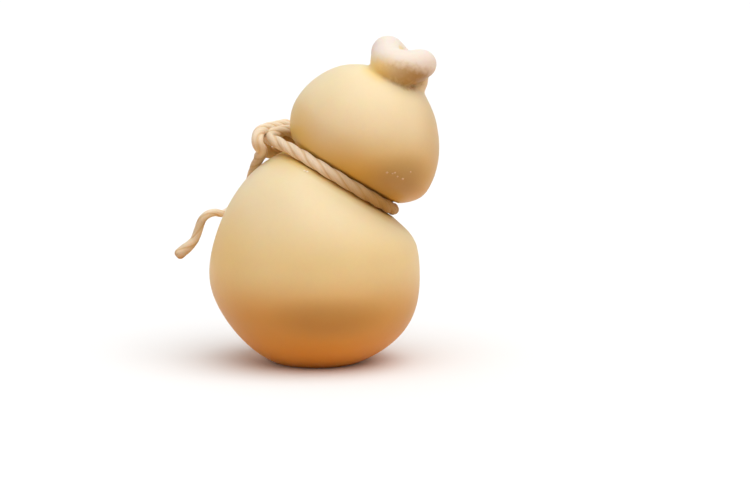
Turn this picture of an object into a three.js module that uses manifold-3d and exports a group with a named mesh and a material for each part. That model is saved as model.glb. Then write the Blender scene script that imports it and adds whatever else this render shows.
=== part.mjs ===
// An aged scamorza: a pear of stretched-curd cheese with a round belly, a head that leans over it and a
// curl of curd on its crown, tied round the neck with one length of twine. The twine makes a turn round the
// neck, a hitch at the side, a hanging loop that lies behind and a loose tail.
//
// Millimetres and degrees, +Z up. The cheese leans towards +X, and the origin is the middle of the small
// flat spot that it rests on.
import * as THREE from "three";
import { mergeVertices } from "three/addons/utils/BufferGeometryUtils.js";
import Module from "manifold-3d";

// Belly: two half ellipses that meet at its widest ring. The lower one is cut off flat, which is the foot.
const BELLY_RADIUS = 45.6;
const BELLY_LEVEL = 38.3; // height of the widest ring
const BELLY_BELOW = 41.8; // half height of the lower ellipse
const BELLY_ABOVE = 48.6; // half height of the upper ellipse
const BELLY_SWAY = 1.6; // how far its rings wander sideways, first one way and then the other
const BELLY_SWAY_OVER = 56; // height of one sway to and fro

// Spine: straight up inside the belly, then leaning ever faster up to the neck, then straight through the
// head. The neck and head lean further, and have slipped a little to the side that they lean to.
const BEND_LEVEL = 38;
const BELLY_LEAN = 28.9; // at the belly's top
const BELLY_DRIFT = 7.2; // sideways, at the belly's top
const NECK_LEVEL = 79.2;
const NECK_LEAN = 31.5;
const NECK_SLIP = 3.4; // sideways, beyond the belly's drift
const NECK_SLIP_OVER = 1.5; // length of spine in which it comes about

// Head: two half ellipses round the spine, which nod a little further than the neck leans.
const HEAD_RADIUS = 34.5;
const HEAD_RISE = 17.8; // of the head's widest ring above the neck
const HEAD_BELOW = 21.8;
const HEAD_ABOVE = 32.2;
const HEAD_NOD = 3.5;
const HEAD_OFFSET = 0.4; // to the side that it leans to
const NECK_SOFTNESS = 1.2; // how round the corner between belly and head is

// Seat: the round channel between belly and head that the twine has pressed in.
const SEAT_RADIUS = 3.2;
const SEAT_RISE = 0.7; // of the channel's middle above the middle of the neck

// Stalk: the drawn-out crown under the curl, set off to the side that the head leans to.
const STALK_RADIUS = 6.4;
const STALK_RISE = 9; // above the crown of the head's ellipse
const STALK_ROUND = 8; // length of its round end, inside the curl
const STALK_FLARE = 11.3; // how widely it spreads into the head
const STALK_OFFSET = 1.7; // beyond the head's own
const STALK_UNBEND = 20; // back towards upright, in its last stretch
const STALK_UNBEND_FROM = 29; // above the head's widest ring
const STALK_OFFSET_FROM = 22; // above the head's widest ring
const STALK_OFFSET_TO = 34;

// Curl: a roll of curd round the stalk. Its points are to the right, back and up from its middle, each with
// the roll's radius there.
const CURL_MIDDLE = [38.2, 0, 131.5];
const CURL_TURN = -10; // about the vertical
const CURL_ROUTE = [
  [7.6, 4.0, -3.7, 5.5],
  [7.4, -6.2, -2.5, 6.5],
  [0.6, -12.8, -3.4, 7.8],
  [-5.4, -11.3, -2.6, 7.8],
  [-7.1, -4.2, 0.6, 6.9],
  [-6.4, 2.0, 2.7, 6.6],
  [-3.2, 4.8, 0.4, 5.8],
  [1.4, 5.0, -3.8, 5.0],
];

// Twine: its routes are to the right, back and up from the middle of the neck, in a frame that leans with
// the neck and is turned round it so that the hitch is at the left.
const TWINE_DIAMETER = 5.4;
const TWINE_TURN = -11.6;
const TURN_RADIUS = 26.2; // of the turn round the neck
const TURN_RISE = 0.6;
const TURN_FROM = 90; // the turn's ends, as angles from the right towards the back
const TURN_TO = -130;
const TURN_STEP = 10;
// From the spare end under the hitch to the back of the neck
const BACK_ROUTE = [
  [-26.8, 22.8, -4.2],
  [-30.4, 19.4, -5.4],
  [-33.2, 15.8, -6.4],
  [-35.0, 13.1, -5.6],
  [-35.6, 12.0, -3.4],
  [-34.9, 12.2, -1.1],
  [-33.0, 13.8, 0.6],
  [-29.6, 17.4, 1.6],
  [-22.8, 21.8, 1.2],
  [-12.2, 25.0, 0.7],
];
// From the turn into the hitch, where the twine doubles back on itself in a bight
const BIGHT_ROUTE = [
  [-23.8, -15.7, 0.5],
  [-28.2, -11.3, 0.1],
  [-31.9, -7.2, -0.3],
  [-34.5, -3.4, -0.7],
  [-35.7, 0.2, -0.5],
  [-35.6, 3.6, 1.0],
  [-34.4, 6.8, 2.8],
  [-32.7, 10.4, 4.4],
  [-30.6, 14.6, 6.0],
  [-27.8, 19.0, 7.0],
];
// The hanging loop, out of the hitch, down on the back of the belly and up again
const LOOP_ROUTE = [
  [-23.4, 24.4, 7.1],
  [-16.0, 30.6, 5.5],
  [-7.1, 36.4, 2.0],
  [1.6, 40.8, -3.9],
  [9.4, 43.7, -10.8],
  [13.8, 46.7, -17.4],
  [12.8, 49.0, -23.4],
  [6.9, 49.8, -26.8],
  [-0.6, 48.4, -25.4],
  [-7.8, 44.9, -19.7],
  [-14.8, 39.9, -11.4],
  [-21.9, 34.8, -2.1],
  [-27.8, 31.6, 4.7],
  [-32.0, 27.8, 7.6],
];
// Over the bight and under it, which closes the hitch
const WRAP_ROUTE = [
  [-34.0, 22.8, 6.9],
  [-35.5, 17.0, 5.3],
  [-37.2, 11.0, 3.6],
  [-38.9, 5.0, 1.9],
  [-39.9, -1.0, 0.2],
  [-40.1, -5.8, -1.7],
  [-39.4, -9.2, -3.5],
  [-38.2, -10.2, -4.9],
  [-36.4, -8.4, -5.9],
  [-35.3, -4.8, -6.8],
  [-34.9, -0.8, -8.0],
];
// The loose tail, down behind the belly's shoulder and out to the side
const TAIL_ROUTE = [
  [-34.9, 3.4, -9.7],
  [-34.9, 7.8, -12.0],
  [-34.8, 12.2, -14.8],
  [-34.4, 16.6, -17.8],
  [-33.8, 20.4, -20.9],
  [-33.3, 23.2, -24.6],
  [-33.2, 24.8, -28.8],
  [-33.6, 24.8, -33.0],
  [-34.8, 23.4, -37.0],
  [-36.6, 20.6, -40.0],
  [-39.7, 18.0, -41.2],
  [-41.7, 16.6, -43.3],
  [-42.6, 15.8, -46.2],
  [-42.4, 15.4, -48.8],
  [-41.8, 15.1, -51.4],
  [-41.2, 14.8, -53.9],
  [-41.0, 14.5, -56.2],
  [-41.7, 13.8, -59.4],
  [-42.7, 13.1, -62.4],
  [-43.9, 12.1, -65.8],
];
const GAP = 0.3; // between lengths of twine where they meet end to end

// Facets
const CHEESE_SIDES = 44;
const FOOT_TO_BELLY_RINGS = 10;
const BELLY_TO_NECK_RINGS = 20;
const NECK_TO_HEAD_RINGS = 12;
const SEAT_SIDES = 16;
const HEAD_TO_STALK_RINGS = 16;
const CURL_SIDES = 14;
const CURL_RINGS = 26;
const TWINE_SIDES = 8;
const TWINE_STEP = 4;

// Looks
const CHEESE_COLOR = 0xecd3a0;
const CHEESE_ROUGHNESS = 0.45;
const TWINE_COLOR = 0xe2c59f;
const TWINE_ROUGHNESS = 0.9;

const wasm = await Module();
wasm.setup();

const radians = THREE.MathUtils.degToRad;
const { smoothstep, clamp, lerp } = THREE.MathUtils;
const HEAD_AT = NECK_LEVEL + HEAD_RISE; // along the spine
const TOP_AT = HEAD_AT + HEAD_ABOVE + STALK_RISE;

// The half width of an ellipse at a distance from its middle, and 0 past its ends.
function ellipse(radius, halfHeight, distance) {
  return radius * Math.sqrt(Math.max(0, 1 - (distance / halfHeight) ** 2));
}

// The larger of two values, with the corner where they cross rounded.
function roundedMax(a, b, softness) {
  return (a + b + Math.hypot(a - b, softness)) / 2;
}

// The cheese's radius at a place along the spine, which is a height below the neck and a distance past it.
function cheeseRadius(along) {
  const belly = ellipse(BELLY_RADIUS, along < BELLY_LEVEL ? BELLY_BELOW : BELLY_ABOVE, along - BELLY_LEVEL);
  const head = ellipse(HEAD_RADIUS, along < HEAD_AT ? HEAD_BELOW : HEAD_ABOVE, along - HEAD_AT);
  if (along > HEAD_AT) {
    const flare = STALK_FLARE * smoothstep(along, HEAD_AT, HEAD_AT + HEAD_ABOVE);
    const pastRound = Math.max(0, along - TOP_AT + STALK_ROUND);
    return roundedMax(head, STALK_RADIUS, flare) * ellipse(1, STALK_ROUND, pastRound);
  }
  return head > 0 ? roundedMax(belly, head, NECK_SOFTNESS) : belly;
}

// The frame of the spine at a place along it: X to the side that the cheese leans to, Z along the spine.
function spineFrame(along) {
  const bent = clamp((along - BEND_LEVEL) / (NECK_LEVEL - BEND_LEVEL), 0, 1);
  const pastNeck = Math.max(0, along - NECK_LEVEL);
  const slipped = smoothstep(pastNeck, 0, NECK_SLIP_OVER);
  const lean = BELLY_LEAN * bent ** 2 + (NECK_LEAN - BELLY_LEAN) * slipped;
  const fade = 1 - Math.min(along, NECK_LEVEL) / NECK_LEVEL;
  const sway = BELLY_SWAY * fade * Math.sin((2 * Math.PI * along) / BELLY_SWAY_OVER);
  const aside = BELLY_DRIFT * bent ** 3 + sway + NECK_SLIP * slipped;
  const unbend = smoothstep(along, HEAD_AT + STALK_UNBEND_FROM, TOP_AT);
  const nod = HEAD_NOD * smoothstep(pastNeck, 0, HEAD_RISE) - STALK_UNBEND * unbend;
  const onStalk = smoothstep(along - HEAD_AT, STALK_OFFSET_FROM, STALK_OFFSET_TO);
  const offset = HEAD_OFFSET * smoothstep(pastNeck, 0, HEAD_RISE) + STALK_OFFSET * onStalk;
  return new THREE.Matrix4()
    .makeTranslation(aside, 0, Math.min(along, NECK_LEVEL))
    .multiply(new THREE.Matrix4().makeRotationY(radians(lean)))
    .multiply(new THREE.Matrix4().makeTranslation(offset, 0, pastNeck))
    .multiply(new THREE.Matrix4().makeRotationY(radians(nod)));
}

// The frame of the neck, where the twine's turn lies.
function neckFrame() {
  return new THREE.Matrix4()
    .makeTranslation(BELLY_DRIFT + NECK_SLIP, 0, NECK_LEVEL)
    .multiply(new THREE.Matrix4().makeRotationY(radians(NECK_LEAN)));
}

// A solid of rings, each with its radius in the XY plane of its own frame. It starts and ends in a point.
function ringSolid(rings, sides) {
  const profile = rings.map((ring, index) => new THREE.Vector2(ring.radius, index));
  const geometry = new THREE.LatheGeometry(profile, sides);
  const position = geometry.getAttribute("position");
  const point = new THREE.Vector3();
  for (let i = 0; i < position.count; i++) {
    const ring = rings[Math.round(position.getY(i))];
    point.set(position.getX(i), -position.getZ(i), 0).applyMatrix4(ring.frame);
    position.setXYZ(i, point.x, point.y, point.z);
  }
  return toSolid(geometry);
}

function toSolid(geometry) {
  geometry.deleteAttribute("normal");
  geometry.deleteAttribute("uv");
  const merged = mergeVertices(geometry);
  return new wasm.Manifold(
    new wasm.Mesh({
      numProp: 3,
      vertProperties: merged.getAttribute("position").array,
      triVerts: new Uint32Array(merged.index.array),
    }),
  );
}

function toMesh(name, solid, color, roughness) {
  const { vertProperties, triVerts } = solid.getMesh();
  const geometry = new THREE.BufferGeometry();
  geometry.setAttribute("position", new THREE.BufferAttribute(vertProperties, 3));
  geometry.setIndex(new THREE.BufferAttribute(triVerts, 1));
  geometry.computeVertexNormals();
  const material = new THREE.MeshStandardMaterial({ color, roughness, metalness: 0 });
  const mesh = new THREE.Mesh(geometry, material);
  mesh.name = name;
  return mesh;
}

// Belly, neck, head and stalk, from the flat foot to the stalk's round end inside the curl.
function bodySolid() {
  const stations = [];
  const footAngle = Math.asin(BELLY_LEVEL / BELLY_BELOW);
  for (let i = 0; i < FOOT_TO_BELLY_RINGS; i++) {
    stations.push(BELLY_LEVEL - BELLY_BELOW * Math.sin(footAngle * (1 - i / FOOT_TO_BELLY_RINGS)));
  }
  for (let i = 0; i < BELLY_TO_NECK_RINGS; i++) {
    stations.push(lerp(BELLY_LEVEL, NECK_LEVEL, i / BELLY_TO_NECK_RINGS));
  }
  for (let i = 0; i < NECK_TO_HEAD_RINGS; i++) {
    stations.push(lerp(NECK_LEVEL, HEAD_AT, i / NECK_TO_HEAD_RINGS));
  }
  for (let i = 0; i <= HEAD_TO_STALK_RINGS; i++) {
    stations.push(HEAD_AT + (TOP_AT - HEAD_AT) * Math.sin((Math.PI / 2) * (i / HEAD_TO_STALK_RINGS)));
  }
  const rings = stations.map((along) => ({ radius: cheeseRadius(along), frame: spineFrame(along) }));
  const foot = { radius: 0, frame: spineFrame(0) };
  return ringSolid([foot, ...rings], CHEESE_SIDES);
}

// What the twine has pressed out of the neck.
function seatSolid() {
  const ring = new THREE.TorusGeometry(TURN_RADIUS, SEAT_RADIUS, SEAT_SIDES, CHEESE_SIDES);
  const place = neckFrame().multiply(new THREE.Matrix4().makeTranslation(0, 0, SEAT_RISE));
  return toSolid(ring.applyMatrix4(place));
}

// The curl of curd: a roll of changing thickness with round ends, bent along its route.
function curlSolid() {
  const route = new THREE.CatmullRomCurve3(CURL_ROUTE.map((point) => new THREE.Vector3(...point)));
  const thickness = new THREE.SplineCurve(CURL_ROUTE.map((point, i) => new THREE.Vector2(i, point[3])));
  const { tangents, normals, binormals } = route.computeFrenetFrames(CURL_RINGS);
  const placed = new THREE.Matrix4()
    .makeRotationZ(radians(CURL_TURN))
    .setPosition(new THREE.Vector3(...CURL_MIDDLE));
  const rings = [];
  for (let i = 0; i <= CURL_RINGS; i++) {
    const share = i / CURL_RINGS;
    const radius = thickness.getPoint(route.getUtoTmapping(share)).y;
    const toEnd = Math.min(share, 1 - share) * route.getLength();
    const across = new THREE.Matrix4()
      .makeBasis(normals[i], binormals[i], tangents[i])
      .setPosition(route.getPointAt(share));
    rings.push({
      radius: ellipse(radius, radius, Math.max(0, radius - toEnd)),
      frame: placed.clone().multiply(across),
    });
  }
  return ringSolid(rings, CURL_SIDES);
}

// Points of the turn round the neck.
function turnPoints() {
  const points = [];
  for (let angle = TURN_FROM; angle >= TURN_TO; angle -= TURN_STEP) {
    points.push([
      TURN_RADIUS * Math.cos(radians(angle)),
      TURN_RADIUS * Math.sin(radians(angle)),
      TURN_RISE,
    ]);
  }
  return points;
}

// The whole twine is one curve through its routes, in the order in which it runs.
const neckPoints = [...BACK_ROUTE, ...turnPoints(), ...BIGHT_ROUTE];
const twinePoints = [...neckPoints, ...LOOP_ROUTE, ...WRAP_ROUTE, ...TAIL_ROUTE];
const LOOP_START = neckPoints.length;
const LOOP_END = LOOP_START + LOOP_ROUTE.length;
const TAIL_START = LOOP_END + WRAP_ROUTE.length;
const TWINE_END = twinePoints.length - 1;
const twineFrame = neckFrame().multiply(new THREE.Matrix4().makeRotationZ(radians(TWINE_TURN)));
const twineCurve = new THREE.CatmullRomCurve3(
  twinePoints.map((point) => new THREE.Vector3(...point).applyMatrix4(twineFrame)),
);

// The stretch of the twine's curve between two of its points, counted from the spare end.
class TwineSpan extends THREE.Curve {
  constructor(from, to) {
    super();
    this.from = from;
    this.to = to;
  }

  getPoint(share, target) {
    return twineCurve.getPoint(lerp(this.from, this.to, share) / TWINE_END, target);
  }
}

// A point of the twine drawn back by half the gap, towards the point before it or after it.
function drawnBack(index, direction) {
  const length = twineCurve.points[index].distanceTo(twineCurve.points[index + direction]);
  return index + (direction * GAP) / 2 / length;
}

function twineSolid(from, to) {
  const section = new THREE.Shape();
  for (let i = 0; i < TWINE_SIDES; i++) {
    const angle = (2 * Math.PI * i) / TWINE_SIDES;
    const x = (TWINE_DIAMETER / 2) * Math.cos(angle);
    const y = (TWINE_DIAMETER / 2) * Math.sin(angle);
    if (i === 0) section.moveTo(x, y);
    else section.lineTo(x, y);
  }
  const span = new TwineSpan(from, to);
  const steps = Math.round(span.getLength() / TWINE_STEP);
  return toSolid(new THREE.ExtrudeGeometry(section, { steps, extrudePath: span }));
}

const cheese = bodySolid().subtract(seatSolid()).add(curlSolid());
const neckTwine = twineSolid(0, drawnBack(LOOP_START, -1)).add(
  twineSolid(drawnBack(LOOP_END, 1), drawnBack(TAIL_START, -1)),
);
const hangingLoop = twineSolid(drawnBack(LOOP_START, 1), drawnBack(LOOP_END, -1));
const twineTail = twineSolid(drawnBack(TAIL_START, 1), TWINE_END);

const scamorza = new THREE.Group();
scamorza.add(toMesh("cheese", cheese, CHEESE_COLOR, CHEESE_ROUGHNESS));
scamorza.add(toMesh("neck_twine", neckTwine, TWINE_COLOR, TWINE_ROUGHNESS));
scamorza.add(toMesh("hanging_loop", hangingLoop, TWINE_COLOR, TWINE_ROUGHNESS));
scamorza.add(toMesh("twine_tail", twineTail, TWINE_COLOR, TWINE_ROUGHNESS));

export default scamorza;
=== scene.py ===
"""An aged scamorza tied with twine: a pear of waxy cheese, its curl of curd, and a rope-laid twine."""

import math

import bpy
import numpy as np
from bpy.props import FloatProperty, FloatVectorProperty, IntProperty, PointerProperty
from mathutils import Matrix, Vector


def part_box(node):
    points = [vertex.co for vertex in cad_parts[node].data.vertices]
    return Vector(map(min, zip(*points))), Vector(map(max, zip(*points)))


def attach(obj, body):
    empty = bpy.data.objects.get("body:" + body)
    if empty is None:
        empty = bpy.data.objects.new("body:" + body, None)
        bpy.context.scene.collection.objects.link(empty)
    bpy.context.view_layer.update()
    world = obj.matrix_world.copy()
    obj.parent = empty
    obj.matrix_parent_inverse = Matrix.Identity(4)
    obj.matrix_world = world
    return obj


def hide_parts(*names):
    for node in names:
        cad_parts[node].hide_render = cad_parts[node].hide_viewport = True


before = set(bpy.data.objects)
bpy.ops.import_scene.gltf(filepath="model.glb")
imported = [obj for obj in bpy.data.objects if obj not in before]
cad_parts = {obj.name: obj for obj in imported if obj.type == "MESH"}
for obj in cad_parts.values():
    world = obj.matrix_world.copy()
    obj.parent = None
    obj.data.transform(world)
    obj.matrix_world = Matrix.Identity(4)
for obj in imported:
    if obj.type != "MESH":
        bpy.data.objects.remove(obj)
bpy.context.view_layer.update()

bl_info = {
    "name": "Aged scamorza",
    "version": (1, 0, 0),
    "blender": (4, 5, 0),
    "location": "3D View > Sidebar > Scamorza",
    "description": "Models an aged scamorza with its twine, and a plain studio for it",
    "category": "Object",
}

MM = 0.001
BODY = "root"
CHEESE_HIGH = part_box("cheese")[1]
IMAGE_WIDTH = 750
IMAGE_HEIGHT = 500

# The curl's roll: to the right, back and up from its middle, and its radius there, in millimetres
CURL_ROUTE = [
    (7.6, 4.0, -3.7, 5.5),
    (7.4, -6.2, -2.5, 6.5),
    (0.6, -12.8, -3.4, 7.8),
    (-5.4, -11.3, -2.6, 7.8),
    (-7.1, -4.2, 0.6, 6.9),
    (-6.4, 2.0, 2.7, 6.6),
    (-3.2, 4.8, 0.4, 5.8),
    (1.4, 5.0, -3.8, 5.0),
]

# The twine's routes: to the right, back and up from the middle of the neck, in millimetres
# From the spare end under the hitch to the back of the neck
BACK_ROUTE = [
    (-26.8, 22.8, -4.2),
    (-30.4, 19.4, -5.4),
    (-33.2, 15.8, -6.4),
    (-35.0, 13.1, -5.6),
    (-35.6, 12.0, -3.4),
    (-34.9, 12.2, -1.1),
    (-33.0, 13.8, 0.6),
    (-29.6, 17.4, 1.6),
    (-22.8, 21.8, 1.2),
    (-12.2, 25.0, 0.7),
]
# From the turn into the hitch, where the twine doubles back on itself in a bight
BIGHT_ROUTE = [
    (-23.8, -15.7, 0.5),
    (-28.2, -11.3, 0.1),
    (-31.9, -7.2, -0.3),
    (-34.5, -3.4, -0.7),
    (-35.7, 0.2, -0.5),
    (-35.6, 3.6, 1.0),
    (-34.4, 6.8, 2.8),
    (-32.7, 10.4, 4.4),
    (-30.6, 14.6, 6.0),
    (-27.8, 19.0, 7.0),
]
# The hanging loop, out of the hitch, down on the back of the belly and up again
LOOP_ROUTE = [
    (-23.4, 24.4, 7.1),
    (-16.0, 30.6, 5.5),
    (-7.1, 36.4, 2.0),
    (1.6, 40.8, -3.9),
    (9.4, 43.7, -10.8),
    (13.8, 46.7, -17.4),
    (12.8, 49.0, -23.4),
    (6.9, 49.8, -26.8),
    (-0.6, 48.4, -25.4),
    (-7.8, 44.9, -19.7),
    (-14.8, 39.9, -11.4),
    (-21.9, 34.8, -2.1),
    (-27.8, 31.6, 4.7),
    (-32.0, 27.8, 7.6),
]
# Over the bight and under it, which closes the hitch
WRAP_ROUTE = [
    (-34.0, 22.8, 6.9),
    (-35.5, 17.0, 5.3),
    (-37.2, 11.0, 3.6),
    (-38.9, 5.0, 1.9),
    (-39.9, -1.0, 0.2),
    (-40.1, -5.8, -1.7),
    (-39.4, -9.2, -3.5),
    (-38.2, -10.2, -4.9),
    (-36.4, -8.4, -5.9),
    (-35.3, -4.8, -6.8),
    (-34.9, -0.8, -8.0),
]
# The loose tail, down behind the belly's shoulder and out to the side
TAIL_ROUTE = [
    (-34.9, 3.4, -9.7),
    (-34.9, 7.8, -12.0),
    (-34.8, 12.2, -14.8),
    (-34.4, 16.6, -17.8),
    (-33.8, 20.4, -20.9),
    (-33.3, 23.2, -24.6),
    (-33.2, 24.8, -28.8),
    (-33.6, 24.8, -33.0),
    (-34.8, 23.4, -37.0),
    (-36.6, 20.6, -40.0),
    (-39.7, 18.0, -41.2),
    (-41.7, 16.6, -43.3),
    (-42.6, 15.8, -46.2),
    (-42.4, 15.4, -48.8),
    (-41.8, 15.1, -51.4),
    (-41.2, 14.8, -53.9),
    (-41.0, 14.5, -56.2),
    (-41.7, 13.8, -59.4),
    (-42.7, 13.1, -62.4),
    (-43.9, 12.1, -65.8),
]

# The worn tail: distance from the hitch in millimetres, and there its share of the twine's
# thickness and of the depth between the strands
TAIL_WEAR = [
    (0.0, 1.00, 1.0),
    (6.0, 0.82, 0.6),
    (30.0, 0.62, 0.3),
    (44.0, 0.60, 0.3),
    (51.0, 0.70, 0.3),
    (59.0, 0.75, 0.4),
    (64.0, 0.74, 0.4),
    (69.0, 0.96, 0.3),
    (73.0, 0.92, 0.2),
]

# How brown the twine is, partly from the rind's oil and partly painted shade where the head and the hitch
# shade it: distance from its spare end in millimetres, and share
TWINE_STAIN_AND_SHADE = [
    (0.0, 0.00),
    (34.0, 0.00),
    (57.0, 0.80),
    (98.0, 0.55),
    (108.0, 0.85),
    (117.0, 1.00),
    (126.0, 0.90),
    (140.0, 0.45),
    (150.0, 0.05),
    (156.0, 0.00),
    (168.0, 0.12),
    (186.0, 0.25),
    (200.0, 0.10),
    (215.0, 0.00),
    (345.0, 0.00),
    (385.0, 0.20),
    (397.0, 0.45),
    (408.0, 0.50),
    (424.0, 0.00),
    (447.0, 0.00),
    (453.0, 0.50),
    (462.0, 0.25),
    (471.0, 0.35),
]

# How golden the twine is, partly from that oil and partly painted warm light that brightens the spare end in
# the shade inside the hitch, in the same way
TWINE_OIL_AND_GLOW = [
    (0.0, 1.00),
    (34.0, 1.00),
    (50.0, 0.00),
]

# Patches of painted shade and painted warm light on the rind: middle and half sizes in millimetres, strength
# and colour
PAINTED_LIGHT_PATCHES = [
    # Painted shade: the belly's front, low down, darker where it faces away from the light
    ((-2.0, -40.0, 25.5), (33.0, 22.0, 12.0), 0.38, (0.42, 0.22, 0.05)),
    # Painted shade: the head's lower right, darker where it is shaded from the right
    ((31.0, -30.0, 80.0), (23.0, 20.0, 17.0), 0.60, (0.40, 0.25, 0.11)),
    # Painted shade: warm, deep yellow shading on the head's left side
    ((-10.0, -4.0, 98.0), (18.0, 30.0, 22.0), 0.65, (0.78, 0.50, 0.06)),
    # Painted shade: the head's right side, darker where it is shaded from the right
    ((48.0, -8.0, 98.0), (17.0, 30.0, 25.0), 0.50, (0.62, 0.40, 0.14)),
    # Painted shade: warm, deep yellow shading on the belly's left side
    ((-44.0, -2.0, 48.0), (28.0, 42.0, 38.0), 0.45, (0.88, 0.60, 0.18)),
    # Painted warm light: a golden glow in the crease at the curl's left base
    ((25.5, -11.0, 126.5), (9.0, 14.0, 8.0), 0.68, (0.96, 0.66, 0.17)),
]

# Half the groove between two strands, in strand widths, where painted shade darkens the twine
GROOVE_WIDTH = 0.22
# How the fibre's pattern repeats across a strand and along its lay
YARN_STRETCH = (6.0, 4.0, 1.0)
# How much of a patch's half sizes is its core, where it has its full strength
PATCH_CORE = 0.2
# Where the rind's colours stand, as shares of the way up the belly and up the head
BELLY_STOPS = (0.05, 0.28, 0.58, 0.92)
HEAD_STOPS = (0.08, 0.55)
# Where the head's colours begin and where they are full, in seat radii above the neck; as they begin below
# the neck, the honey reaches onto the belly under the twine as a painted golden shadow
HEAD_COLOUR_FROM, HEAD_COLOUR_FULL = -1.7, -0.4
# How fine the ragged lower edge of the curd colour is
RAG_SCALE = 420.0
# Patches on the curl: place from its middle and half sizes in millimetres, core and strength; the
# underside's brown is partly painted shade, and the dimple's gold partly painted warm light
CURL_UNDERSIDE_SHADE = ((0.0, -11.0, -2.8), (15.5, 13.5, 9.4), 0.55, 1.0)
CURL_DIMPLE_GLOW = ((0.0, -4.0, 2.5), (6.5, 6.0, 4.0), 0.5, 0.85)

# Specks of salt on the head, and a fleck of two grains on the belly: pixels of the image across and down,
# and radius in millimetres
SPECK_PIXELS = [
    (387.0, 172.6, 0.60),
    (392.4, 173.6, 0.42),
    (394.8, 172.8, 0.55),
    (397.4, 176.6, 0.50),
    (402.6, 179.0, 0.65),
    (410.6, 172.0, 0.50),
    (304.4, 170.6, 0.55),
    (307.2, 171.6, 0.60),
]


def millimetres(name, description, value):
    """A length, given in millimetres and held in metres."""
    return FloatProperty(name=name, description=description, default=value * MM, precision=5, unit="LENGTH")


def degrees(name, description, value):
    """An angle, given in degrees and held in radians."""
    return FloatProperty(name=name, description=description, default=math.radians(value), subtype="ANGLE")


def amount(name, description, value):
    """A plain number."""
    return FloatProperty(name=name, description=description, default=value, precision=3)


def colour(name, description, red, green, blue):
    """A colour in linear light."""
    tint = (red, green, blue)
    return FloatVectorProperty(
        name=name, description=description, default=tint, subtype="COLOR", size=3, min=0, max=1
    )


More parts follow.
